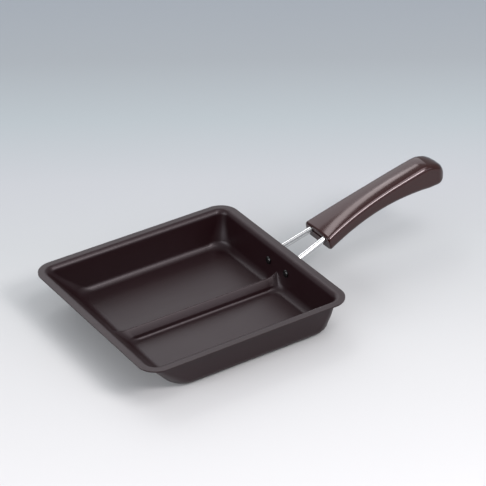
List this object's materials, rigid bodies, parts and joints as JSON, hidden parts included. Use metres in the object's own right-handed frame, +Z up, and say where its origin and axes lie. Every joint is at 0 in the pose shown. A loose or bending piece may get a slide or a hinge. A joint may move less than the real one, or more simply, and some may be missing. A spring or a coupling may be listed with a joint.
{
  "type": "divided square frying pan",
  "caption": "Square pressed pan with a rolled rim and a low ridge that parts its floor into two equal compartments, on two rods with an arched moulded handle.",
  "frame": {"origin": "centre of the whole object's box, on the plane that the tray stands on", "axes": "+X from the tray towards the handle, +Y across the compartments to the left of the handle, +Z up"},
  "size_m": [0.3498, 0.187, 0.0733],
  "materials": {
    "coated_sheet": "satin dark brown non-stick coat on pressed steel",
    "chromed_rod": "bright chrome on steel wire",
    "coated_rivet": "gloss black coat on the steel rivet",
    "plain_steel": "zinc-plated steel",
    "phenolic": "semi-gloss dark brown phenolic moulding"
  },
  "bodies": {
    "root": {"pan_body": "coated_sheet", "rod_left": "chromed_rod", "rod_right": "chromed_rod", "rivet_left": "coated_rivet", "rivet_right": "coated_rivet", "tang_plate": "plain_steel", "handle_grip": "phenolic", "handle_screw": "plain_steel"}
  },
  "joints": []
}
